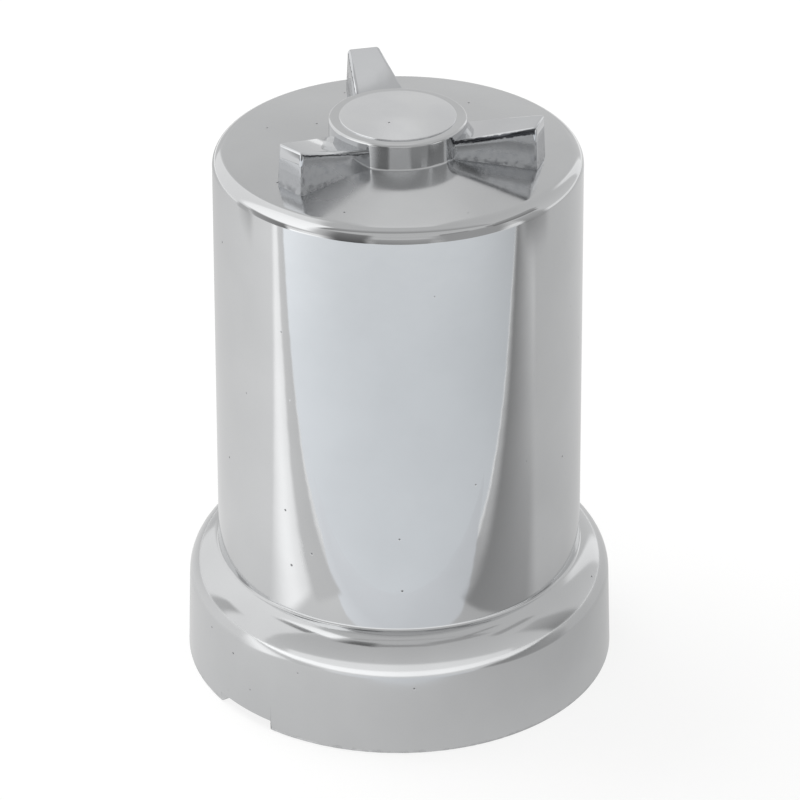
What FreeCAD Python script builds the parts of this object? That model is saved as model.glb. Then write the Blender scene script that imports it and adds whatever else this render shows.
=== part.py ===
import FreeCAD
import Part
import math
import os

# Push-on cover for a hexagonal wheel nut: a drafted tube on a wide flange, closed by a low
# crowned top that carries a three-eared spinner. One moulding, plated bright all over.
# Millimetres. Z is the nut's axis, the rim stands on z = 0 and the pry notch faces -Y.

# The nut that the cover pushes on to
nut_across_flats = 33.0
grip_bite = 0.15
collar_diameter = 48.0
collar_clearance = 0.4

# Flange
flange_height = 15.2
flange_wall = 2.4
flange_draft_deg = 2.2
shoulder_slope_deg = 14.5
shoulder_radius = 5.0
shoulder_wall = 2.0
socket_chamfer = 2.2
rim_chamfer = 0.3
rim_lead_in = 0.4
notch_width = 9.0
notch_height = 1.4

# Tube and its crowned top
tube_wall = 2.1
tube_draft_deg = 0.64
tube_height = 68.35
crown_rise = 1.3
top_edge_radius = 1.8
top_wall = 2.2

# Grip ribs inside the tube
rib_count = 30
rib_height = 1.65
rib_width = 1.4
rib_lead_in = 2.6
rib_start_gap = 0.5
grip_length = 28.0
rib_relief_deg = 0.5

# Spinner hub
hub_radius = 8.2
hub_height = 3.0
hub_draft_deg = 1.0
hub_chamfer = 0.35
hub_ring_width = 1.25
hub_wall = 2.0
disc_step = 0.15
disc_rise = 0.45

# Spinner ears
ear_count = 3
ear_reach = 17.3
ear_tip_width = 3.9
ear_root_width = 6.2
ear_tip_height = 4.55
ear_root_height = 2.0
ear_draft_deg = 2.3
ear_chamfer = 0.35
ear_wall = 1.2
ear_roof = 1.8

# How far one shape of the moulding runs into the next before they are joined
overlap = 0.3

AXIS_FOOT = FreeCAD.Vector(0, 0, 0)
AXIS = FreeCAD.Vector(0, 0, 1)
FRONT = -90.0


def tan_deg(angle):
    return math.tan(math.radians(angle))


def in_plane(radius, height):
    return FreeCAD.Vector(radius, 0, height)


def line(start, end):
    return Part.LineSegment(start, end).toShape()


def arc(start, middle, end):
    return Part.Arc(start, middle, end).toShape()


def rounded_path(corners):
    """Edges through (radius, height, rounding) corners, whose first and last stay sharp.
    Where two roundings need more than the leg between them, both get smaller."""
    points = [in_plane(radius, height) for radius, height, rounding in corners]
    turns = [0.0]
    reaches = [0.0]
    for i in range(1, len(points) - 1):
        back = points[i - 1] - points[i]
        ahead = points[i + 1] - points[i]
        turns.append((math.pi - back.getAngle(ahead)) / 2)
        reaches.append(corners[i][2] * math.tan(turns[i]))
    reaches.append(0.0)
    edges = []
    here = points[0]
    for i in range(1, len(points) - 1):
        share = 1.0
        for j in (i - 1, i + 1):
            needed = reaches[i] + reaches[j]
            leg = (points[j] - points[i]).Length
            if needed > 0.98 * leg:
                share = min(share, 0.98 * leg / needed)
        reach = reaches[i] * share
        back = (points[i - 1] - points[i]).normalize()
        ahead = (points[i + 1] - points[i]).normalize()
        edges.append(line(here, points[i] + back * reach))
        here = points[i] + ahead * reach
        if reach > 0:
            radius = reach / math.tan(turns[i])
            inward = (back + ahead).normalize()
            centre = points[i] + inward * (radius / math.cos(turns[i]))
            edges.append(arc(points[i] + back * reach, centre - inward * radius, here))
    edges.append(line(here, points[-1]))
    return edges


def turned(edges, angle=360.0):
    solid = Part.Face(Part.Wire(edges)).revolve(AXIS_FOOT, AXIS, angle)
    if solid.Volume < 0:
        solid.reverse()
    return solid


def block(near, far):
    """Solid between two upright four-cornered ends, with six flat sides."""
    sides = [near, far]
    for i in range(4):
        j = (i + 1) % 4
        sides.append([near[i], near[j], far[j], far[i]])
    faces = [Part.Face(Part.makePolygon(side + side[:1])) for side in sides]
    solid = Part.Solid(Part.makeShell(faces))
    if solid.Volume < 0:
        solid.reverse()
    return solid


def around(shape, count, turn):
    copies = []
    for i in range(count):
        copy = shape.copy()
        copy.rotate(AXIS_FOOT, AXIS, turn + 360.0 * i / count)
        copies.append(copy)
    return copies


# Radii and levels that follow from the sizes above
rib_tip_radius = nut_across_flats / math.sqrt(3) - grip_bite
tube_inner_radius = rib_tip_radius + rib_height
tube_radius = tube_inner_radius + tube_wall
socket_radius = collar_diameter / 2 + collar_clearance
rim_radius = socket_radius + flange_wall
tube_taper = tan_deg(tube_draft_deg)
flange_taper = tan_deg(flange_draft_deg)
shoulder_slope = tan_deg(shoulder_slope_deg)
tube_top_radius = tube_radius - (tube_height - flange_height) * tube_taper
crown_top = tube_height + crown_rise
crown_sphere = (tube_top_radius**2 + crown_rise**2) / (2 * crown_rise)


def crown_height(radius, depth=0.0):
    """Height of the crown at a radius, or of the surface one depth under it."""
    sphere = crown_sphere - depth
    return crown_top - crown_sphere + math.sqrt(sphere**2 - radius**2)


def crown_arc(start_radius, end_radius):
    places = []
    for radius in (start_radius, (start_radius + end_radius) / 2, end_radius):
        places.append(in_plane(radius, crown_height(radius)))
    return arc(*places)


# The shoulder's slope runs from the tube's foot out to this corner with the flange's side
shoulder_reach = rim_radius - tube_radius - flange_height * flange_taper
corner_height = flange_height - shoulder_reach * shoulder_slope / (1 - flange_taper * shoulder_slope)
corner_radius = rim_radius - corner_height * flange_taper

# The rounding between the tube's side and its crown, as a ball that touches both
side = in_plane(tube_top_radius - tube_radius, tube_height - flange_height).normalize()
inward = FreeCAD.Vector(-side.z, 0, side.x)
crown_centre = in_plane(0, crown_top - crown_sphere)
track = in_plane(tube_radius, flange_height) + inward * top_edge_radius - crown_centre
track_foot = track.dot(side)
to_ball = math.sqrt(track_foot**2 - track.dot(track) + (crown_sphere - top_edge_radius) ** 2)
ball = crown_centre + track + side * (to_ball - track_foot)
on_side = ball - inward * top_edge_radius
on_crown = crown_centre + (ball - crown_centre).normalize() * crown_sphere
outward = (on_side + on_crown - ball * 2).normalize()

# Spinner hub: a drum with a flat ring round a slightly raised, domed disc
hub_top = crown_top + hub_height
hub_foot_radius = hub_radius + (hub_top - crown_height(hub_radius)) * tan_deg(hub_draft_deg)
disc_radius = hub_radius - hub_ring_width
disc_edge = hub_top + disc_step
disc_sphere = (disc_radius**2 + disc_rise**2) / (2 * disc_rise)
disc_middle = disc_edge + disc_rise - disc_sphere + math.sqrt(disc_sphere**2 - disc_radius**2 / 4)

# Outside of the whole cover, turned as one section from the rim to the disc
outside = turned(
    rounded_path([
        (0, 0, 0),
        (rim_radius - rim_chamfer, 0, 0),
        (rim_radius, rim_chamfer, 0),
        (corner_radius, corner_height, shoulder_radius),
        (tube_radius, flange_height, 0),
        (on_side.x, on_side.z, 0),
    ])
    + [arc(on_side, ball + outward * top_edge_radius, on_crown)]
    + [crown_arc(on_crown.x, hub_foot_radius)]
    + rounded_path([
        (hub_foot_radius, crown_height(hub_foot_radius), 0),
        (hub_radius, hub_top - hub_chamfer, 0),
        (hub_radius - hub_chamfer, hub_top, 0),
        (disc_radius, hub_top, 0),
        (disc_radius, disc_edge, 0),
    ])
    + [
        arc(
            in_plane(disc_radius, disc_edge),
            in_plane(disc_radius / 2, disc_middle),
            in_plane(0, disc_edge + disc_rise),
        ),
        line(in_plane(0, disc_edge + disc_rise), AXIS_FOOT),
    ]
)

# Spinner ears: wedges that narrow and climb from the hub to a blunt tip
ear_root = math.sqrt(hub_radius**2 - (ear_root_width / 2) ** 2)
ear_start = ear_root / 2


def ear_block(reach, inset, roof, floor):
    """One ear, or the core that hollows it when inset and roof are its walls."""

    def along(near_value, far_value, radius):
        return near_value + (far_value - near_value) * (radius - ear_root) / (ear_reach - ear_root)

    def half_width(radius):
        return along(ear_root_width, ear_tip_width, radius) / 2 - inset

    def top(radius):
        return crown_top + along(ear_root_height, ear_tip_height, radius) - roof

    def foot_half_width(radius):
        return half_width(radius) + (top(radius) - floor) * tan_deg(ear_draft_deg)

    foot = reach + (top(reach) - floor) * tan_deg(ear_draft_deg)
    near = [
        FreeCAD.Vector(ear_start, -half_width(ear_start), top(ear_start)),
        FreeCAD.Vector(ear_start, half_width(ear_start), top(ear_start)),
        FreeCAD.Vector(ear_start, foot_half_width(ear_start), floor),
        FreeCAD.Vector(ear_start, -foot_half_width(ear_start), floor),
    ]
    far = [
        FreeCAD.Vector(reach, -half_width(reach), top(reach)),
        FreeCAD.Vector(reach, half_width(reach), top(reach)),
        FreeCAD.Vector(foot, foot_half_width(foot), floor),
        FreeCAD.Vector(foot, -foot_half_width(foot), floor),
    ]
    return block(near, far)


ear_floor = crown_height(ear_reach, top_wall / 2)
ear = ear_block(ear_reach, 0.0, 0.0, ear_floor)
ear_edges = []
for edge in ear.Edges:
    bounds = edge.BoundBox
    if bounds.ZMax > ear_floor + overlap and bounds.XMax > ear_reach - overlap:
        ear_edges.append(edge)
ear = ear.makeChamfer(ear_chamfer, ear_edges)

# Inside, turned as one section: the flange's socket, the tube and a pocket under the hub
seat_height = flange_height - shoulder_wall
socket_height = seat_height - (socket_radius - tube_inner_radius) * shoulder_slope
ceiling_edge_radius = tube_inner_radius - (tube_height - top_wall - seat_height) * tube_taper
pocket_top = hub_top - hub_wall
pocket_radius = hub_radius - hub_wall
pocket_foot = crown_height(hub_radius, top_wall)
pocket_foot_radius = pocket_radius + (pocket_top - pocket_foot) * tan_deg(hub_draft_deg)
inside = turned(
    rounded_path([
        (0, -1, 0),
        (socket_radius + rim_lead_in + 1, -1, 0),
        (socket_radius, rim_lead_in, 0),
        (socket_radius, socket_height - socket_chamfer, 0),
        (socket_radius - socket_chamfer, socket_height + socket_chamfer * shoulder_slope, 0),
        (tube_inner_radius, seat_height, 0),
        (ceiling_edge_radius, crown_height(ceiling_edge_radius, top_wall), 0),
        (pocket_foot_radius, pocket_foot, 0),
        (pocket_radius, pocket_top, 0),
        (0, pocket_top, 0),
        (0, -1, 0),
    ])
)

# Pockets under the ears, so that they are not far thicker than the wall
pocket_floor = crown_height(ear_reach, top_wall) - top_wall
ear_pocket = ear_block(ear_reach - 2 * ear_wall, ear_wall, ear_roof, pocket_floor)

# Grip ribs: from just above the flange's inside shoulder up into the ceiling
rib_foot = seat_height + rib_start_gap
land_start = rib_foot + rib_lead_in
land_end = land_start + grip_length
rib_top = crown_height(rib_tip_radius, top_wall / 2)
rib_top_radius = rib_tip_radius - (rib_top - land_end) * tan_deg(rib_relief_deg)
rib_turn = math.degrees(rib_width / rib_tip_radius)


def behind_wall(height):
    return tube_inner_radius - (height - seat_height) * tube_taper + overlap


rib = turned(
    rounded_path([
        (behind_wall(rib_foot), rib_foot, 0),
        (behind_wall(rib_top), rib_top, 0),
        (rib_top_radius, rib_top, 0),
        (rib_tip_radius, land_end, 0),
        (rib_tip_radius, land_start, 0),
        (behind_wall(rib_foot) - overlap, rib_foot, 0),
        (behind_wall(rib_foot), rib_foot, 0),
    ]),
    rib_turn,
)

# Pry notch through the rim, in line with one ear
notch = Part.makeBox(
    notch_width,
    flange_wall + rim_lead_in + 2,
    notch_height + 1,
    FreeCAD.Vector(-notch_width / 2, -rim_radius - 1, -1),
)

cover = outside.fuse(around(ear, ear_count, FRONT))
cover = cover.cut([inside] + around(ear_pocket, ear_count, FRONT))
cover = cover.fuse(around(rib, rib_count, FRONT - rib_turn / 2))
cover = cover.cut(notch).removeSplitter()

os.makedirs("parts", exist_ok=True)
cover.exportStep("parts/nut_cover.step")
print("solids", len(cover.Solids), "valid", cover.isValid(), "volume", round(cover.Volume, 1))
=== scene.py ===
import math

import bmesh
import bpy
from mathutils import Matrix, Vector
from mathutils.bvhtree import BVHTree


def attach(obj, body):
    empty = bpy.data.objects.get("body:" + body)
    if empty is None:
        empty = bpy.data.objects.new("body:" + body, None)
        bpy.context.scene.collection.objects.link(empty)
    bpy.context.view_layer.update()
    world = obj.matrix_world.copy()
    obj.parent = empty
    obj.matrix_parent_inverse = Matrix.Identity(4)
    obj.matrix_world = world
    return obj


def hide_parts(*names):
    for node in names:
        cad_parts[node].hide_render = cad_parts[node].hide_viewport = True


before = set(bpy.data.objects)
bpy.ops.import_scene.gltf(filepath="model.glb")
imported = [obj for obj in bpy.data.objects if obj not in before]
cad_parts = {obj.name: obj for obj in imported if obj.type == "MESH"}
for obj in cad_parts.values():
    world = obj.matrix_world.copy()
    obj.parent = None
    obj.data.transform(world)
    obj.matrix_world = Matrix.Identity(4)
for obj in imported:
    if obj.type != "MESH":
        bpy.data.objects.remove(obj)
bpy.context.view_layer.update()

MM = 0.001

# Where the photograph was taken from, worked out from the outlines of the rim, the tube and the spinner.
LENS_MM = 162.8
SENSOR_MM = 36.0
DISTANCE_MM = 445.6
AIM_HEIGHT_MM = 34.25
VIEW_TURN_DEG = 45.9
VIEW_RISE_DEG = 29.25
VIEW_ROLL_DEG = -0.17
SHIFT_X = 0.0016

PLATED_NODE = "nut_cover"

# The cover's outside, in millimetres, as the solid has it
RIM_RADIUS = 26.8
SOCKET_RADIUS = 24.4
FLANGE_HEIGHT = 15.2
FLANGE_DRAFT_DEG = 2.2
SHOULDER_SLOPE_DEG = 14.5
SHOULDER_RADIUS = 5.0
TUBE_RADIUS = 22.6529
TUBE_HEIGHT = 68.35
TUBE_DRAFT_DEG = 0.64
CROWN_RISE = 1.3
TOP_EDGE_RADIUS = 1.8
NOTCH_WIDTH = 9.0
NOTCH_HEIGHT = 1.4
RIM_LEAD_IN = 0.4
HUB_RADIUS = 8.2
HUB_HEIGHT = 3.0
HUB_RING_WIDTH = 1.25
DISC_STEP = 0.15
DISC_RISE = 0.45
EAR_REACH = 17.3
EAR_TIP_WIDTH = 3.9
EAR_ROOT_WIDTH = 6.2
EAR_TIP_HEIGHT = 4.55
EAR_ROOT_HEIGHT = 2.0
EAR_DRAFT_DEG = 2.3
EAR_COUNT = 3
CROWN_TOP = TUBE_HEIGHT + CROWN_RISE

# Its small roundings
RIM_EDGE = 0.3
MOUTH_EDGE = 0.06
FOOT_FILLET = 0.3
HUB_EDGE = 0.35
HUB_FILLET = 0.2
DISC_EDGE = 0.08
EAR_EDGE = 0.4

# How finely the turned pieces are drawn
ROUND_STEPS = 256
NOTCH_STEPS = 16
CROWN_STEPS = 16
DOME_STEPS = 12
LEG_STEP = 4.0
BEND_STEP_DEG = 5.0
EAR_EDGE_STEPS = 4

# How wide and deep the plating's marks are, in millimetres
PIT_SPACING = 4.0
PIT_RADIUS = 0.2
PIT_FLOOR_RADIUS = 0.07
PIT_DEPTH = 0.03
PEEL_WIDTH = 2.5
PEEL_DEPTH = 0.005
SINK_WIDTH = 16.0
SINK_DEPTH = 0.05
HAZE_WIDTH = 12.0
SATIN_GRAIN = 0.5
SATIN_DEPTH = 0.006
DISC_HAZE_WIDTH = 5.0
CLOUD_PLACE = (3.2, -14.0, 69.0)
CLOUD_RADIUS = 8.0
MOTTLE_WIDTH = 0.8
MOTTLE_DEPTH = 0.006
# Width and waver of the ragged edges of the painted dark reflection line on the ears
DARK_LINE_RAGGED_WIDTH = 0.6
DARK_LINE_WAVER = 0.4
SCUFF_WIDTH = 0.8
SCUFF_HEIGHT = 1.1
BACK_GRAIN = 0.7
BACK_DEPTH = 0.03
BACK_PATCH = 6.0

# How much rougher the crown, the flange and the middle of the cloudy patch are than the tube
SOFTER_ROUGHNESS = 0.06
CLOUD_ROUGHNESS = 0.24

# Direction of the ear whose painted dark reflection line is widest
DARK_LINE_EAR_DEG = 30.0

# The floor: its gap under the rim and its reach in millimetres, its strength as a lit sheet, and the share
# of what is seen of it that is that sheet and not plain paper
FLOOR_GAP = 0.05
FLOOR_REACH = 1200.0
FLOOR_STRENGTH = 1.12
FLOOR_GLOW = 0.7

# The room's own light, level with the cover and overhead
WALL_STRENGTH = 0.74
CEILING_STRENGTH = 0.62

# The lamp: width and the height that it aims at in millimetres, and power in watts
LAMP_WIDTH = 500.0
LAMP_AIM_HEIGHT = 30.0
LAMP_POWER = 3.0


def linear(code):
    """An sRGB hex colour as the linear colour a shader takes."""
    channels = [int(code[i : i + 2], 16) / 255 for i in (1, 3, 5)]
    return tuple(c / 12.92 if c <= 0.04045 else ((c + 0.055) / 1.055) ** 2.4 for c in channels) + (1.0,)


def add(tree, kind, links=None, **settings):
    """Adds one node. Settings name its properties, and links its sockets: values or other nodes' outputs."""
    made = tree.nodes.new(kind)
    for name, value in settings.items():
        setattr(made, name, value)
    for socket, source in (links or {}).items():
        entry = made.inputs[socket]
        if isinstance(source, bpy.types.NodeSocket):
            tree.links.new(source, entry)
        else:
            entry.default_value = source
    return made


def new_finish(name):
    """An empty node material."""
    finish = bpy.data.materials.new(name)
    finish.use_nodes = True
    finish.node_tree.nodes.clear()
    return finish


def per_mm(width):
    """Scale of a pattern whose repeats are this many millimetres wide, for coordinates in metres."""
    return 1.0 / (width * MM)


def from_axis(tree, spot):
    """The level part of a place whose three numbers are given, and its distance from the cover's axis."""
    level = add(tree, "ShaderNodeCombineXYZ", {0: spot.outputs[0], 1: spot.outputs[1]}).outputs[0]
    radius = add(tree, "ShaderNodeVectorMath", {0: level}, operation="LENGTH").outputs["Value"]
    return level, radius


def plated_base(tree, bright, hazed, smooth, dull, haze_width=HAZE_WIDTH):
    """Plating over a moulding: shade, roughness and height in millimetres. Broad haze dulls it in patches,
    the plastic's sink marks and orange peel make reflections waver, and dust under the copper leaves a few
    pits."""
    place = add(tree, "ShaderNodeTexCoord").outputs["Object"]
    haze = add(tree, "ShaderNodeTexNoise", {"Vector": place, "Scale": per_mm(haze_width), "Detail": 5.0})
    patches = add(tree, "ShaderNodeMapRange", {0: haze.outputs["Fac"], 1: 0.36, 2: 0.68})
    cells = add(tree, "ShaderNodeTexVoronoi", {"Vector": place, "Scale": per_mm(PIT_SPACING)})
    pit = add(tree, "ShaderNodeMapRange", {
        0: cells.outputs["Distance"], 1: PIT_RADIUS / PIT_SPACING, 2: PIT_FLOOR_RADIUS / PIT_SPACING,
    }, interpolation_type="SMOOTHSTEP")
    even = add(tree, "ShaderNodeMix", {0: patches.outputs[0], 6: linear(bright), 7: linear(hazed)},
               data_type="RGBA")
    shade = add(tree, "ShaderNodeMix", {0: pit.outputs[0], 6: even.outputs[2], 7: linear("#77787B")},
                data_type="RGBA")
    sheen = add(tree, "ShaderNodeMapRange", {0: patches.outputs[0], 3: smooth, 4: dull})
    rough = add(tree, "ShaderNodeMapRange", {0: pit.outputs[0], 3: sheen.outputs[0], 4: 0.4})
    sinks = add(tree, "ShaderNodeTexNoise", {"Vector": place, "Scale": per_mm(SINK_WIDTH), "Detail": 0.0})
    peel = add(tree, "ShaderNodeTexNoise", {"Vector": place, "Scale": per_mm(PEEL_WIDTH), "Detail": 1.0})
    broad = add(tree, "ShaderNodeMath", {0: sinks.outputs["Fac"], 1: SINK_DEPTH}, operation="MULTIPLY")
    both = add(tree, "ShaderNodeMath", {0: peel.outputs["Fac"], 1: PEEL_DEPTH, 2: broad.outputs[0]},
               operation="MULTIPLY_ADD")
    height = add(tree, "ShaderNodeMath", {0: pit.outputs[0], 1: -PIT_DEPTH, 2: both.outputs[0]},
                 operation="MULTIPLY_ADD")
    return place, shade.outputs[2], rough.outputs[0], height.outputs[0]


def close_plating(tree, shade, rough, height):
    """The metal shader that every plated finish ends in. Heights are in millimetres."""
    relief = add(tree, "ShaderNodeBump", {"Height": height, "Strength": 1.0, "Distance": MM})
    plate = add(tree, "ShaderNodeBsdfPrincipled", {
        "Base Color": shade, "Metallic": 1.0, "Roughness": rough, "Normal": relief.outputs[0],
    })
    add(tree, "ShaderNodeOutputMaterial", {"Surface": plate.outputs["BSDF"]})


def bright_chrome_on_abs():
    """Chromium over nickel and copper on moulded ABS. Chromium is a cold, slightly dark mirror: it shows the
    studio sharply on the tube, softer on the crown and the flange, where the mould was polished less, with a
    cloudy patch on the crown beside the front ear, and dull where the rim has stood."""
    finish = new_finish("bright_chrome_on_moulded_abs")
    tree = finish.node_tree
    place, shade, rough, height = plated_base(tree, "#D4D5D6", "#CFD0D1", 0.045, 0.07)
    spot = add(tree, "ShaderNodeSeparateXYZ", {0: place})
    radius = from_axis(tree, spot)[1]
    outside_hub = add(tree, "ShaderNodeMapRange", {0: radius, 1: (HUB_RADIUS + 0.2) * MM,
                                                   2: (HUB_RADIUS + 1.6) * MM})
    on_top = add(tree, "ShaderNodeMapRange", {0: spot.outputs[2], 1: (TUBE_HEIGHT - 0.3) * MM,
                                              2: (TUBE_HEIGHT + 0.3) * MM})
    crown = add(tree, "ShaderNodeMath", {0: outside_hub.outputs[0], 1: on_top.outputs[0]},
                operation="MULTIPLY")
    flange = add(tree, "ShaderNodeMapRange", {0: spot.outputs[2], 1: (FLANGE_HEIGHT + 0.2) * MM,
                                              2: (FLANGE_HEIGHT - 0.6) * MM})
    softer = add(tree, "ShaderNodeMath", {0: flange.outputs[0], 1: crown.outputs[0]}, operation="MAXIMUM")
    soft = add(tree, "ShaderNodeMath", {0: softer.outputs[0], 1: SOFTER_ROUGHNESS, 2: rough},
               operation="MULTIPLY_ADD")
    patch = tuple(length * MM for length in CLOUD_PLACE)
    apart = add(tree, "ShaderNodeVectorMath", {0: place, 1: patch}, operation="DISTANCE").outputs["Value"]
    cloud = add(tree, "ShaderNodeMapRange", {0: apart, 2: CLOUD_RADIUS * MM, 3: CLOUD_ROUGHNESS, 4: 0.0})
    clouded = add(tree, "ShaderNodeMath", {0: crown.outputs[0], 1: cloud.outputs[0], 2: soft.outputs[0]},
                  operation="MULTIPLY_ADD")
    scuffs = add(tree, "ShaderNodeTexNoise", {"Vector": place, "Scale": per_mm(SCUFF_WIDTH), "Detail": 3.0})
    low = add(tree, "ShaderNodeMapRange", {0: spot.outputs[2], 1: SCUFF_HEIGHT * MM, 2: 0.0, 4: 0.55})
    edge = add(tree, "ShaderNodeMath", {0: scuffs.outputs["Fac"], 1: low.outputs[0]}, operation="MULTIPLY")
    worn = add(tree, "ShaderNodeMapRange", {0: edge.outputs[0], 1: 0.14, 2: 0.3})
    scuffed = add(tree, "ShaderNodeMapRange", {0: worn.outputs[0], 3: clouded.outputs[0], 4: 0.32})
    tone = add(tree, "ShaderNodeMix", {0: worn.outputs[0], 6: shade, 7: linear("#B9BABB")},
               data_type="RGBA")
    close_plating(tree, tone.outputs[2], scuffed.outputs[0], height)
    return finish


def satin_chrome_disc():
    """The hub's disc, plated on a blasted patch of the mould: paler and softer than the chrome round it,
    because its fine grain spreads the light. The grain is near 0.1 mm and is drawn coarser, so that it
    shows."""
    finish = new_finish("satin_chrome_on_hub_disc")
    tree = finish.node_tree
    place, shade, rough, height = plated_base(tree, "#E4E5E6", "#DFE0E2", 0.17, 0.23, DISC_HAZE_WIDTH)
    grain = add(tree, "ShaderNodeTexNoise", {"Vector": place, "Scale": per_mm(SATIN_GRAIN), "Detail": 3.0})
    relief = add(tree, "ShaderNodeMath", {0: grain.outputs["Fac"], 1: SATIN_DEPTH, 2: height},
                 operation="MULTIPLY_ADD")
    close_plating(tree, shade, rough, relief.outputs[0])
    return finish


def clouded_chrome_and_painted_line_on_ears():
    """The ears' plating. Current crowds at such sharp wedges and starves their flanks, so low on the flanks
    lies a mottled grey haze in patches near 1 mm. Under the top edge a ragged dark line is painted on the
    flanks, a painted dark reflection, widest on one ear. The tops, ends and edges stay bright."""
    finish = new_finish("clouded_chrome_and_painted_line_on_ears")
    tree = finish.node_tree
    place, shade, rough, height = plated_base(tree, "#D4D5D7", "#CED0D2", 0.05, 0.08)
    spot = add(tree, "ShaderNodeSeparateXYZ", {0: place})
    level, radius = from_axis(tree, spot)
    outward = add(tree, "ShaderNodeVectorMath", {0: level}, operation="NORMALIZE")
    facing = add(tree, "ShaderNodeTexCoord").outputs["Normal"]
    end = add(tree, "ShaderNodeVectorMath", {0: facing, 1: outward.outputs[0]}, operation="DOT_PRODUCT")
    rise = add(tree, "ShaderNodeSeparateXYZ", {0: facing})
    away = add(tree, "ShaderNodeMath", {0: end.outputs["Value"], 1: rise.outputs[2]}, operation="MAXIMUM")
    flank = add(tree, "ShaderNodeMapRange", {0: away.outputs[0], 1: 0.80, 2: 0.50}).outputs[0]

    # How far a place lies along the ear, from 0 to 1, and how many millimetres below its top edge
    along = add(tree, "ShaderNodeMapRange", {0: radius, 1: HUB_RADIUS * MM, 2: EAR_REACH * MM}).outputs[0]
    ear_top = add(tree, "ShaderNodeMapRange", {0: along, 3: CROWN_TOP + EAR_ROOT_HEIGHT,
                                               4: CROWN_TOP + EAR_TIP_HEIGHT})
    below = add(tree, "ShaderNodeMath", {0: spot.outputs[2], 1: -1.0 / MM, 2: ear_top.outputs[0]},
                operation="MULTIPLY_ADD").outputs[0]

    # The mottled haze
    mottle = add(tree, "ShaderNodeTexNoise", {"Vector": place, "Scale": per_mm(MOTTLE_WIDTH), "Detail": 6.0,
                                              "Roughness": 0.62})
    cloud = add(tree, "ShaderNodeMapRange", {0: mottle.outputs["Fac"], 1: 0.46, 2: 0.70})
    low = add(tree, "ShaderNodeMapRange", {0: below, 1: 0.7, 2: 1.6})
    cloudy = add(tree, "ShaderNodeMath", {0: flank, 1: cloud.outputs[0]}, operation="MULTIPLY")
    share = add(tree, "ShaderNodeMath", {0: cloudy.outputs[0], 1: low.outputs[0]},
                operation="MULTIPLY").outputs[0]

    # The painted dark reflection line: it starts and ends at wavering depths, and reaches lowest at the tip
    # of the ear where it is widest
    turn = math.radians(DARK_LINE_EAR_DEG)
    towards = (math.cos(turn), math.sin(turn), 0.0)
    side = add(tree, "ShaderNodeVectorMath", {0: level, 1: towards}, operation="DOT_PRODUCT")
    dark_line_ear = add(tree, "ShaderNodeMapRange", {0: side.outputs["Value"], 1: 2 * MM, 2: 7 * MM, 3: 0.25})
    ragged = add(tree, "ShaderNodeTexNoise", {"Vector": place, "Scale": per_mm(DARK_LINE_RAGGED_WIDTH), "Detail": 2.0})
    depth = add(tree, "ShaderNodeMath", {0: ragged.outputs["Fac"], 1: DARK_LINE_WAVER, 2: below},
                operation="MULTIPLY_ADD")
    widest = add(tree, "ShaderNodeMath", {0: along, 1: dark_line_ear.outputs[0]}, operation="MULTIPLY")
    last = add(tree, "ShaderNodeMapRange", {0: widest.outputs[0], 3: 0.60, 4: 1.05})
    past_last = add(tree, "ShaderNodeMath", {0: depth.outputs[0], 1: last.outputs[0]},
                    operation="SUBTRACT")
    not_over = add(tree, "ShaderNodeMapRange", {0: past_last.outputs[0], 1: 0.06, 2: -0.06})
    first = add(tree, "ShaderNodeMapRange", {0: dark_line_ear.outputs[0], 1: 0.25, 2: 1.0, 3: 0.50, 4: 0.30})
    past_first = add(tree, "ShaderNodeMath", {0: depth.outputs[0], 1: first.outputs[0]},
                     operation="SUBTRACT")
    begun = add(tree, "ShaderNodeMapRange", {0: past_first.outputs[0], 1: -0.04, 2: 0.04})
    band = add(tree, "ShaderNodeMath", {0: not_over.outputs[0], 1: begun.outputs[0]}, operation="MULTIPLY")
    painted_dark_line = add(tree, "ShaderNodeMath", {0: band.outputs[0], 1: flank}, operation="MULTIPLY")

    hazed = add(tree, "ShaderNodeMix", {0: share, 6: shade, 7: linear("#C4C6CA")}, data_type="RGBA")
    # Dark grey painted along the line on the flanks: a painted dark reflection
    tone = add(tree, "ShaderNodeMix", {0: painted_dark_line.outputs[0], 6: hazed.outputs[2], 7: linear("#515357")},
               data_type="RGBA")
    dulled = add(tree, "ShaderNodeMapRange", {0: share, 3: rough, 4: 0.22})
    relief = add(tree, "ShaderNodeMath", {0: share, 1: MOTTLE_DEPTH, 2: height}, operation="MULTIPLY_ADD")
    close_plating(tree, tone.outputs[2], dulled.outputs[0], relief.outputs[0])
    return finish


def dull_chrome_in_hollow():
    """The plated back of the moulding. The core of the mould was never polished and little current reaches
    the hollow, so the metal is thin, dark and blurred, with a fine even grain."""
    finish = new_finish("dull_chrome_inside")
    tree = finish.node_tree
    place, shade, rough, height = plated_base(tree, "#B5B7B9", "#9C9EA0", 0.3, 0.42, BACK_PATCH)
    grain = add(tree, "ShaderNodeTexNoise", {"Vector": place, "Scale": per_mm(BACK_GRAIN), "Detail": 4.0})
    relief = add(tree, "ShaderNodeMath", {0: grain.outputs["Fac"], 1: BACK_DEPTH, 2: height},
                 operation="MULTIPLY_ADD")
    close_plating(tree, shade, rough, relief.outputs[0])
    return finish


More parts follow.
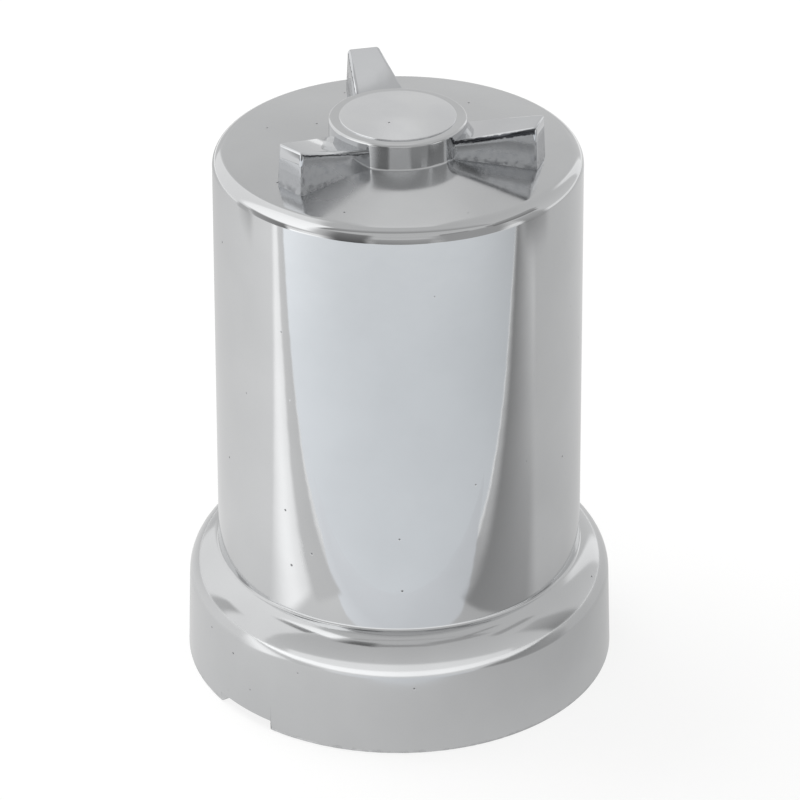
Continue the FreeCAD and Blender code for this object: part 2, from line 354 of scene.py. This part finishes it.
def fillet_runs(corners):
    """Section of the outside as runs of (radius, height, normal) points: straight legs and roundings in
    turn. Each corner is (radius, height, rounding), and the path goes with the outside on its left."""
    runs = []
    here = Vector(corners[0][:2])
    for i in range(1, len(corners)):
        corner = Vector(corners[i][:2])
        back = (Vector(corners[i - 1][:2]) - corner).normalized()
        side = Vector((back.y, -back.x))
        if i == len(corners) - 1 or corners[i][2] == 0:
            runs.append(leg(here, corner, side))
            here = corner
            continue
        ahead = (Vector(corners[i + 1][:2]) - corner).normalized()
        turn = (math.pi - back.angle(ahead)) / 2
        reach = corners[i][2] * math.tan(turn)
        start, end = corner + back * reach, corner + ahead * reach
        centre = corner + (back + ahead).normalized() * corners[i][2] / math.cos(turn)
        outward = 1.0 if side.dot(start - centre) > 0 else -1.0
        runs.append(leg(here, start, side))
        runs.append(bend(start, end, centre, outward))
        here = end
    return runs


def leg(start, end, side):
    """Points along a straight stretch, which all face one way."""
    steps = max(1, round((end - start).length / LEG_STEP))
    points = [start.lerp(end, i / steps) for i in range(steps + 1)]
    return [(p.x, p.y, side) for p in points]


def bend(start, end, centre, outward=1.0):
    """Points along an arc that turns less than half a circle."""
    first, last = start - centre, end - centre
    steps = max(3, round(first.angle(last) / math.radians(BEND_STEP_DEG)))
    points = []
    for i in range(steps + 1):
        spoke = first.lerp(last, i / steps).normalized()
        place = centre + spoke * first.length
        points.append((place.x, place.y, spoke * outward))
    return points


def cap_runs():
    """Sections of the hub's disc, and of the outside from the ring round it to the socket's mouth."""
    taper = math.tan(math.radians(TUBE_DRAFT_DEG))
    flange_taper = math.tan(math.radians(FLANGE_DRAFT_DEG))
    top_radius = TUBE_RADIUS - (TUBE_HEIGHT - FLANGE_HEIGHT) * taper
    sphere = (top_radius**2 + CROWN_RISE**2) / (2 * CROWN_RISE)
    crown_centre = Vector((0.0, CROWN_TOP - sphere))

    def on_crown(radius):
        return Vector((radius, crown_centre.y + math.sqrt(sphere**2 - radius**2)))

    hub_top = CROWN_TOP + HUB_HEIGHT
    disc_radius = HUB_RADIUS - HUB_RING_WIDTH
    disc_edge = hub_top + DISC_STEP
    disc_sphere = (disc_radius**2 + DISC_RISE**2) / (2 * DISC_RISE)
    disc_centre = Vector((0.0, disc_edge + DISC_RISE - disc_sphere))
    dome = []
    for i in range(DOME_STEPS + 1):
        radius = (disc_radius - 1.5 * DISC_EDGE) * i / DOME_STEPS
        spoke = Vector((radius, math.sqrt(disc_sphere**2 - radius**2)))
        dome.append((radius, disc_centre.y + spoke.y, spoke.normalized()))
    lip = Vector(dome[-1][:2])
    foot = on_crown(HUB_RADIUS + 0.06)
    near_foot = on_crown(HUB_RADIUS + 1.0)
    disc = [dome] + fillet_runs([
        (lip.x, lip.y, 0),
        (disc_radius, lip.y - 0.03, DISC_EDGE),
        (disc_radius, hub_top - 0.1, 0),
    ])
    runs = fillet_runs([
        (disc_radius - 0.1, hub_top, 0),
        (HUB_RADIUS, hub_top, HUB_EDGE),
        (foot.x, foot.y, HUB_FILLET),
        (near_foot.x, near_foot.y, 0),
    ])
    side = Vector((-taper, 1.0)).normalized()
    inward = Vector((-side.y, side.x))
    track = Vector((TUBE_RADIUS, FLANGE_HEIGHT)) + inward * TOP_EDGE_RADIUS - crown_centre
    along = track.dot(side)
    ball = crown_centre + track + side * (
        math.sqrt(along**2 - track.dot(track) + (sphere - TOP_EDGE_RADIUS) ** 2) - along
    )
    crown_end = crown_centre + (ball - crown_centre).normalized() * sphere
    side_end = ball - inward * TOP_EDGE_RADIUS
    crown = []
    for i in range(CROWN_STEPS + 1):
        place = on_crown(near_foot.x + (crown_end.x - near_foot.x) * i / CROWN_STEPS)
        crown.append((place.x, place.y, (place - crown_centre).normalized()))
    runs += [crown, bend(crown_end, side_end, ball)]
    slope = math.tan(math.radians(SHOULDER_SLOPE_DEG))
    reach = RIM_RADIUS - TUBE_RADIUS - FLANGE_HEIGHT * flange_taper
    corner_height = FLANGE_HEIGHT - reach * slope / (1 - flange_taper * slope)
    corner_radius = RIM_RADIUS - corner_height * flange_taper
    runs += fillet_runs([
        (side_end.x, side_end.y, 0),
        (TUBE_RADIUS, FLANGE_HEIGHT, FOOT_FILLET),
        (corner_radius, corner_height, SHOULDER_RADIUS),
        (RIM_RADIUS, 0.0, RIM_EDGE),
        (SOCKET_RADIUS + RIM_LEAD_IN, 0.0, MOUTH_EDGE),
        (SOCKET_RADIUS, RIM_LEAD_IN, 0),
    ])
    return disc, runs


def turned_piece(name, runs, notched=False):
    """A piece turned round the axis from its section. The housing has the pry notch cut up into its rim."""
    half_notch = math.asin(NOTCH_WIDTH / 2 / (RIM_RADIUS - 0.1)) if notched else 0.0
    sweep = 2 * math.pi - 2 * half_notch
    first = -math.pi / 2 + half_notch
    turns = [(first + sweep * i / ROUND_STEPS, False) for i in range(ROUND_STEPS + (1 if notched else 0))]
    if notched:
        last = -math.pi / 2 - half_notch
        turns += [(last + 2 * half_notch * i / NOTCH_STEPS, True) for i in range(NOTCH_STEPS + 1)]
    spots, normals, faces = [], [], []
    for run in runs:
        base = len(spots)
        under_notch = max(point[1] for point in run) < NOTCH_HEIGHT
        for turn, cut in turns:
            for radius, height, side in run:
                if cut and height < NOTCH_HEIGHT:
                    height = NOTCH_HEIGHT
                    side = Vector((0.0, -1.0)) if under_notch else side
                spots.append((radius * math.cos(turn) * MM, radius * math.sin(turn) * MM, height * MM))
                normals.append((side.x * math.cos(turn), side.x * math.sin(turn), side.y))
        rows, columns = len(run), len(turns)
        for c in range(columns):
            here, after = base + c * rows, base + (c + 1) % columns * rows
            for r in range(rows - 1):
                faces.append([here + r, here + r + 1, after + r + 1, after + r])
    return finished_mesh(name, spots, faces, normals)


def in_scene(name, mesh, smooth=False):
    """The mesh as an object in the scene."""
    if smooth:
        mesh.polygons.foreach_set("use_smooth", [True] * len(mesh.polygons))
    piece = bpy.data.objects.new(name, mesh)
    bpy.context.scene.collection.objects.link(piece)
    return piece


def finished_mesh(name, spots, faces, normals):
    """A smooth mesh with its own exact normals. Faces with no area are left out, and the notch's two upright
    ends are flat."""
    kept = []
    for face in faces:
        ring = []
        for corner in face:
            place = Vector(spots[corner])
            if all((place - Vector(spots[other])).length > 1e-8 for other in ring):
                ring.append(corner)
        if len(ring) > 2:
            kept.append(ring)
    mesh = bpy.data.meshes.new(name)
    mesh.from_pydata(spots, [], kept)
    piece = in_scene(name, mesh, smooth=True)
    exact = []
    for polygon in mesh.polygons:
        corners = [mesh.vertices[v].co for v in polygon.vertices]
        directions = {round(math.atan2(corner.y, corner.x), 5) for corner in corners}
        if len(directions) == 1 and polygon.center.xy.length > HUB_RADIUS * MM:
            exact += [tuple(polygon.normal)] * polygon.loop_total
        else:
            exact += [normals[v] for v in polygon.vertices]
    mesh.normals_split_custom_set(exact)
    return piece


def make_ears():
    """Three wedges that narrow and climb from the hub to a blunt tip, with softened edges. They start inside
    the hub and end inside the top, so their hidden edges stay sharp."""
    root = math.sqrt(HUB_RADIUS**2 - (EAR_ROOT_WIDTH / 2) ** 2)
    draft = math.tan(math.radians(EAR_DRAFT_DEG))
    floor = CROWN_TOP - 2 * CROWN_RISE
    start = root / 2
    shape = bmesh.new()

    def along(near_value, far_value, radius):
        return near_value + (far_value - near_value) * (radius - root) / (EAR_REACH - root)

    for i in range(EAR_COUNT):
        spin = Matrix.Rotation(-math.pi / 2 + i * 2 * math.pi / EAR_COUNT, 4, "Z")
        ring = []
        for radius in (start, EAR_REACH):
            half = along(EAR_ROOT_WIDTH, EAR_TIP_WIDTH, radius) / 2
            top = CROWN_TOP + along(EAR_ROOT_HEIGHT, EAR_TIP_HEIGHT, radius)
            spread = (top - floor) * draft
            foot = radius + (spread if radius == EAR_REACH else 0.0)
            for x, y, z in ((radius, -half, top), (radius, half, top),
                            (foot, half + spread, floor), (foot, -half - spread, floor)):
                ring.append(shape.verts.new(spin @ Vector((x, y, z)) * MM))
        for face in ((3, 2, 1, 0), (4, 5, 6, 7), (0, 1, 5, 4), (1, 2, 6, 5), (2, 3, 7, 6), (3, 0, 4, 7)):
            shape.faces.new([ring[j] for j in face])
    seen_height, seen_radius = (floor + 0.5) * MM, (start + 2) * MM
    edges = []
    for edge in shape.edges:
        heights = [v.co.z for v in edge.verts]
        radii = [v.co.xy.length for v in edge.verts]
        rises_in_view = min(heights) > seen_height or min(radii) > seen_radius
        if max(heights) > seen_height and max(radii) > seen_radius and rises_in_view:
            edges.append(edge)
    bmesh.ops.bevel(shape, geom=edges, offset=EAR_EDGE * MM, segments=EAR_EDGE_STEPS, profile=0.5,
                    affect="EDGES")
    bmesh.ops.recalc_face_normals(shape, faces=shape.faces)
    mesh = bpy.data.meshes.new("ears")
    shape.to_mesh(mesh)
    shape.free()
    piece = in_scene("ears", mesh, smooth=True)
    weigh = piece.modifiers.new("weighted", "WEIGHTED_NORMAL")
    weigh.mode = "FACE_AREA"
    weigh.weight = 100
    return piece


def make_inside(solid):
    """The socket, the tube's bore, its grip ribs and the pockets, as the solid has them."""
    shape = bmesh.new()
    shape.from_mesh(solid.data)
    bmesh.ops.remove_doubles(shape, verts=shape.verts, dist=1e-6)
    tree = BVHTree.FromBMesh(shape)
    outside = []
    for face in shape.faces:
        middle, normal = face.calc_center_median(), face.normal
        in_notch = middle.z < (NOTCH_HEIGHT + 0.02) * MM and middle.xy.length > (SOCKET_RADIUS - 0.02) * MM
        on_hub = middle.z > (CROWN_TOP + HUB_HEIGHT - 0.05) * MM and middle.xy.length < HUB_RADIUS * MM
        meets = tree.ray_cast(middle + normal * 1e-5, normal)[0] is not None
        faces_down = normal.z < -0.5 and middle.z > 1.0 * MM
        if in_notch or on_hub or not (meets or faces_down):
            outside.append(face)
    bmesh.ops.delete(shape, geom=outside, context="FACES")
    mesh = bpy.data.meshes.new("inside")
    shape.to_mesh(mesh)
    shape.free()
    piece = in_scene("inside", mesh, smooth=True)
    mesh.set_sharp_from_angle(angle=math.radians(24))
    return piece


def studio_floor():
    """White paper, lit and shining a little, so that it shows as white as in the photograph."""
    finish = new_finish("white_paper_floor")
    tree = finish.node_tree
    share = seen_share(tree, 0.0, FLOOR_GLOW)
    paper = add(tree, "ShaderNodeBsdfDiffuse", {"Color": linear("#F4F4F3"), "Roughness": 0.5})
    glow = add(tree, "ShaderNodeEmission", {"Color": (1.0, 1.0, 1.0, 1.0), "Strength": FLOOR_STRENGTH})
    mixed = add(tree, "ShaderNodeMixShader", {0: share, 1: paper.outputs[0], 2: glow.outputs[0]})
    add(tree, "ShaderNodeOutputMaterial", {"Surface": mixed.outputs[0]})
    return finish


def seen_share(tree, unseen, seen):
    """One value for rays that light things, another for rays by which the camera, metal or glass sees."""
    seen_by = add(tree, "ShaderNodeLightPath").outputs
    direct = add(tree, "ShaderNodeMath", {0: seen_by["Is Camera Ray"], 1: seen_by["Is Glossy Ray"]},
                 operation="MAXIMUM")
    every = add(tree, "ShaderNodeMath", {0: direct.outputs[0], 1: seen_by["Is Transmission Ray"]},
                operation="MAXIMUM")
    span = add(tree, "ShaderNodeMapRange", {0: every.outputs[0], 3: unseen, 4: seen})
    return span.outputs[0]


def make_floor():
    """The sheet of white paper that the cover stands on."""
    mesh = bpy.data.meshes.new("floor")
    side, below = FLOOR_REACH * MM, -FLOOR_GAP * MM
    corners = [(x, y, below) for x, y in ((-side, -side), (side, -side), (side, side), (-side, side))]
    mesh.from_pydata(corners, [], [(0, 1, 2, 3)])
    floor = in_scene("floor", mesh)
    mesh.materials.append(studio_floor())
    return floor


def from_front(x, y, z):
    """A place given in millimetres as the photograph's camera faces the cover: x right, y away, z up."""
    turn = math.radians(VIEW_TURN_DEG)
    return Vector((
        (x * math.cos(turn) - y * math.sin(turn)) * MM,
        (x * math.sin(turn) + y * math.cos(turn)) * MM,
        z * MM,
    ))


def board_finish(name, glow, size, edges, painted_gloss, tint):
    """Reflector board: shines from one glow at its left to another at its right, low and high, and fades out
    at its edges over a few mm. A sheet can be painted brighter, and white, where it is seen at a slant: a
    painted reflection of the wall in front, as a glossy sheet would show."""
    finish = new_finish(name)
    tree = finish.node_tree
    place = add(tree, "ShaderNodeSeparateXYZ", {0: add(tree, "ShaderNodeUVMap").outputs[0]})
    fade = 1.0
    for axis, length, low, high in (("X", size[0], edges[0], edges[1]), ("Y", size[1], edges[2], edges[3])):
        for start, end in ((0.0, low / length), (1.0, 1.0 - high / length)):
            ramp = add(tree, "ShaderNodeMapRange", {0: place.outputs[axis], 1: start, 2: end},
                       interpolation_type="SMOOTHSTEP")
            fade = add(tree, "ShaderNodeMath", {0: ramp.outputs[0], 1: fade},
                       operation="MULTIPLY").outputs[0]
    left_low, right_low, left_high, right_high = glow
    low_row = add(tree, "ShaderNodeMapRange", {0: place.outputs["X"], 3: left_low, 4: right_low})
    high_row = add(tree, "ShaderNodeMapRange", {0: place.outputs["X"], 3: left_high, 4: right_high})
    level = add(tree, "ShaderNodeMapRange", {0: place.outputs["Y"], 3: low_row.outputs[0],
                                             4: high_row.outputs[0]})
    # Painted reflection: the glow grows stronger and whiter where the board is seen at a slant
    facing = add(tree, "ShaderNodeLayerWeight", {"Blend": 0.5}).outputs["Facing"]
    slant = add(tree, "ShaderNodeMapRange", {0: facing, 1: 0.53, 2: 0.70}, interpolation_type="SMOOTHSTEP")
    shine = add(tree, "ShaderNodeMapRange", {0: slant.outputs[0], 3: 1.0, 4: 1.0 + painted_gloss})
    strength = add(tree, "ShaderNodeMath", {0: level.outputs[0], 1: shine.outputs[0]}, operation="MULTIPLY")
    colour = add(tree, "ShaderNodeMix", {0: slant.outputs[0], 6: linear(tint), 7: linear("#FFFFFF")},
                 data_type="RGBA")
    light = add(tree, "ShaderNodeEmission", {"Color": colour.outputs[2], "Strength": strength.outputs[0]})
    clear = add(tree, "ShaderNodeBsdfTransparent")
    mixed = add(tree, "ShaderNodeMixShader", {0: fade, 1: clear.outputs[0], 2: light.outputs[0]})
    add(tree, "ShaderNodeOutputMaterial", {"Surface": mixed.outputs[0]})
    return finish


def make_board(name, corners, glow, edges, painted_gloss=0.0, tint="#FFFFFF"):
    """A board with four corners, in the photograph's frame, that only the plating reflects. Its glow is one
    value, or the values at its left and right, low and then high. Its edges say over how many millimetres it
    fades at its left, right, low and high edge."""
    if not isinstance(glow, tuple):
        glow = (glow,) * 4
    spots = [from_front(*corner) for corner in corners]
    mesh = bpy.data.meshes.new(name)
    mesh.from_pydata(spots, [], [(0, 1, 2, 3)])
    sheet = mesh.uv_layers.new(name="board")
    for loop, place in zip(sheet.data, ((0, 0), (1, 0), (1, 1), (0, 1))):
        loop.uv = place
    across = ((spots[1] - spots[0]).length + (spots[2] - spots[3]).length) / 2 / MM
    up = ((spots[3] - spots[0]).length + (spots[2] - spots[1]).length) / 2 / MM
    mesh.materials.append(board_finish(name, glow, (across, up), edges, painted_gloss, tint))
    board = in_scene(name, mesh)
    board.visible_camera = False
    board.visible_diffuse = False
    board.visible_shadow = False
    return board


def lying(height, *corners):
    """Corners of a board that lies level at a height, given by its four (x, y) places."""
    return [(x, y, height) for x, y in corners]


def far_corners(turn_from, turn_to, rise_from, rise_to, reach=900.0):
    """Corners of a board far away that covers a range of directions, from above the middle of the cover."""
    spots = []
    middle_height = 40.0
    ways = ((turn_from, rise_from), (turn_to, rise_from), (turn_to, rise_to), (turn_from, rise_to))
    for turn_deg, rise_deg in ways:
        turn, rise = math.radians(turn_deg), math.radians(rise_deg)
        spots.append((
            reach * math.cos(turn) * math.cos(rise),
            reach * math.sin(turn) * math.cos(rise),
            middle_height + reach * math.sin(rise),
        ))
    return spots


def fanned_corners(low_from, low_to, high_from, high_to, rise_from, rise_to):
    """Corners of a far board whose upper edge covers more directions than its lower one."""
    low = far_corners(low_from, low_to, rise_from, rise_to)
    high = far_corners(high_from, high_to, rise_from, rise_to)
    return low[:2] + high[2:]


def around_rim(turn_from, turn_to, low, high, reach=48.0):
    """Corners of a small board that stands near the rim, between two directions."""
    spots = []
    for turn, height in ((turn_from, low), (turn_to, low), (turn_to, high), (turn_from, high)):
        turn = math.radians(turn)
        spots.append((reach * math.cos(turn), reach * math.sin(turn), height))
    return spots


def lay_boards():
    """The boards and sheets on the table round the cover, each a little higher than the one before, so that
    it covers it. Some paint the floor's light and shade: lit on the left, shaded on the right, and in the
    cover's contact shadow close round the rim. The tube and the flange show them."""
    # Painted shade: the floor to the right, dimmer as if shaded from the light that falls from the left
    make_board("right_floor_shade", lying(0.2, (-20, -50), (300, -50), (300, 300), (-20, 300)),
               (0.57, 0.63, 0.92, 0.60), (1, 40, 1, 60))
    # Painted light: the floor to the left, brighter where the light falls from the left
    make_board("left_floor_light", lying(0.25, (-300, -52), (20, -50), (20, 300), (-300, 300)),
               (1.01, 0.90, 0.73, 0.30), (40, 40, 1, 60))
    # The front sheet's brightening at a slant is a painted reflection of the wall in front
    make_board("front_sheet", lying(0.3, (-260, -170), (260, -170), (260, -49), (-260, -52)),
               (0.87, 0.88, 1.39, 0.44), (60, 60, 1, 1), painted_gloss=0.5, tint="#F7FBFF")
    # Painted shadow: a dimmer sheet close round the rim that only the plating sees, in place of the cover's
    # own contact shadow on the floor
    make_board("near_shadow_disc", lying(0.4, (-50, -51), (50, -51), (50, 20), (-50, 20)),
               (0.90, 0.48, 0.76, 0.56), (14, 12, 4, 12))
    make_board("sheet_lip", lying(0.5, (-62, -56), (62, -56), (25, -42), (-21, -44)),
               (1.02, 0.75, 0.98, 0.80), (1, 1, 1, 1), tint="#F8FBFF")
    make_board("right_gap", lying(0.6, (25, -46.5), (185, -51), (150, -4), (42, -11)),
               (0.30, 0.20, 0.40, 0.92), (2, 30, 7, 11))
    make_board("left_gap", lying(0.6, (-190, -56), (-24, -48), (-32, -36), (-190, -40)),
               (0.80, 0.68, 0.92, 0.73), (30, 3, 1.5, 3))
    make_board("left_streak", lying(0.7, (-190, -46), (-34, -38.5), (-34, -15), (-190, -34)),
               (1.32, 0.98, 1.15, 1.85), (30, 4, 3, 12))


def stand_boards():
    """The boards that stand round the cover: wide ones at the sides and behind it, and narrow ones near the
    rim. The shoulder, the crown's edge, the hub and the ears show them."""
    make_board("front_rise", [(-280, -170, 1), (280, -170, 1), (280, -170, 60), (-280, -170, 60)],
               (1.15, 0.98, 1.12, 0.95), (40, 40, 1, 16))
    make_board("left_post", [(-128, 48, 6), (-128, 4, 6), (-128, -10, 70), (-128, 26, 70)],
               (0.60, 0.60, 0.60, 0.50), (12, 12, 8, 16))
    make_board("right_post", [(128, -34, 6), (128, 24, 6), (128, -12, 108), (128, -66, 108)],
               (0.23, 0.46, 0.60, 0.49), (14, 14, 10, 14))
    make_board("right_bar", around_rim(362, 328, 118, 150, 120), 0.42, (8, 8, 6, 8))
    make_board("left_panel", far_corners(199, 112, -4, 64), (0.98, 0.98, 0.94, 1.05), (40, 60, 60, 120))
    make_board("left_high", far_corners(200, 152, 8, 48, 880), 1.15, (40, 60, 60, 60))
    make_board("right_strip", far_corners(60, 43, -22, 40), (1.15, 1.09, 1.04, 0.88), (60, 40, 60, 120))
    make_board("back_lamp", fanned_corners(94, 86, 130, 50, 30, 76),
               (0.78, 0.75, 0.84, 0.84), (45, 45, 16, 120))
    make_board("back_low", far_corners(140, 68, -10, 14), (0.81, 0.68, 0.61, 0.65), (120, 120, 60, 120))
    make_board("rim_lobe", around_rim(232, 180, 68, 124, 50), (1.50, 1.28, 1.30, 1.18), (7, 8, 4, 16))
    make_board("rim_spot_left", around_rim(218, 190, 54, 77, 47), (0.15, 0.55, 0.34, 0.45), (3, 5, 3, 5))
    make_board("rim_flag_left", around_rim(260, 231, 55, 90, 48), (0.10, 0.12, 0.30, 0.30), (5, 10, 1.5, 5))
    make_board("rim_flag_mid", around_rim(292, 252, 56, 75, 47.5), (0.38, 0.28, 0.52, 0.45), (8, 8, 1.5, 5))
    make_board("rim_flag_right", around_rim(326, 281, 56, 84, 48), 0.42, (8, 10, 2, 6))
    make_board("rim_flag_high", around_rim(322, 226, 86, 132, 49), (0.45, 0.28, 0.72, 0.66), (6, 5, 4, 16))
    make_board("hub_stripe_mid", around_rim(285, 258, 75, 85, 46), 0.63, (1, 1, 2, 2))
    make_board("hub_stripe_right", around_rim(305, 289, 76, 85, 46), 0.33, (1, 1, 2, 2))
    make_board("hub_stripe_far", around_rim(345, 313, 76, 86, 46), (0.27, 0.17, 0.40, 0.47), (2, 1, 2, 2))


def make_world():
    """An even white room, a little darker overhead."""
    world = bpy.data.worlds.new("studio")
    bpy.context.scene.world = world
    world.use_nodes = True
    tree = world.node_tree
    tree.nodes.clear()
    path = add(tree, "ShaderNodeTexCoord")
    height = add(tree, "ShaderNodeSeparateXYZ", {0: path.outputs["Generated"]})
    rise = add(tree, "ShaderNodeMapRange", {0: height.outputs["Z"], 2: 0.9, 3: WALL_STRENGTH,
                                            4: CEILING_STRENGTH})
    level = add(tree, "ShaderNodeMath", {0: rise.outputs[0], 1: seen_share(tree, 0.9, 1.0)},
                operation="MULTIPLY")
    sky = add(tree, "ShaderNodeBackground", {"Color": (1.0, 1.0, 1.0, 1.0), "Strength": level.outputs[0]})
    add(tree, "ShaderNodeOutputWorld", {"Surface": sky.outputs[0]})


def make_lamp(name, place, width, power):
    """A soft square lamp aimed at the middle of the cover. The plating doesn't mirror it."""
    light = bpy.data.lights.new(name, "AREA")
    light.shape = "SQUARE"
    light.size = width * MM
    light.energy = power
    lamp = bpy.data.objects.new(name, light)
    bpy.context.scene.collection.objects.link(lamp)
    lamp.location = place
    aim = Vector((0, 0, LAMP_AIM_HEIGHT * MM)) - place
    lamp.rotation_euler = aim.to_track_quat("-Z", "Y").to_euler()
    lamp.visible_glossy = False
    return lamp


def make_camera():
    """The photograph's camera: aimed at the axis, then rolled a little."""
    turn, rise, roll = (math.radians(v) for v in (VIEW_TURN_DEG, VIEW_RISE_DEG, VIEW_ROLL_DEG))
    back = Vector((math.sin(turn) * math.cos(rise), -math.cos(turn) * math.cos(rise), math.sin(rise)))
    right = Vector((math.cos(turn), math.sin(turn), 0.0))
    up = back.cross(right)
    tilted_right = math.cos(roll) * right + math.sin(roll) * up
    tilted_up = math.cos(roll) * up - math.sin(roll) * right
    data = bpy.data.cameras.new("camera")
    data.lens = LENS_MM
    data.sensor_width = SENSOR_MM
    data.shift_x = SHIFT_X
    data.clip_start = 0.01
    data.clip_end = 20.0
    camera = bpy.data.objects.new("camera", data)
    bpy.context.scene.collection.objects.link(camera)
    place = Vector((0.0, 0.0, AIM_HEIGHT_MM * MM)) + back * DISTANCE_MM * MM
    axes = Matrix((tilted_right, tilted_up, back)).transposed().to_4x4()
    camera.matrix_world = Matrix.Translation(place) @ axes
    bpy.context.scene.camera = camera
    return camera


make_camera()
make_floor()
make_world()
lay_boards()
stand_boards()
make_lamp("overhead_lamp", from_front(-350, 250, 700), LAMP_WIDTH, LAMP_POWER)
disc_section, cover_section = cap_runs()
for piece, finish in (
    (turned_piece("housing", cover_section, notched=True), bright_chrome_on_abs()),
    (turned_piece("hub_disc", disc_section), satin_chrome_disc()),
    (make_ears(), clouded_chrome_and_painted_line_on_ears()),
    (make_inside(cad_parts[PLATED_NODE]), dull_chrome_in_hollow()),
):
    piece.data.materials.clear()
    piece.data.materials.append(finish)
    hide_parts(PLATED_NODE)
    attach(piece, "root")

bpy.context.scene.view_settings.view_transform = "Standard"
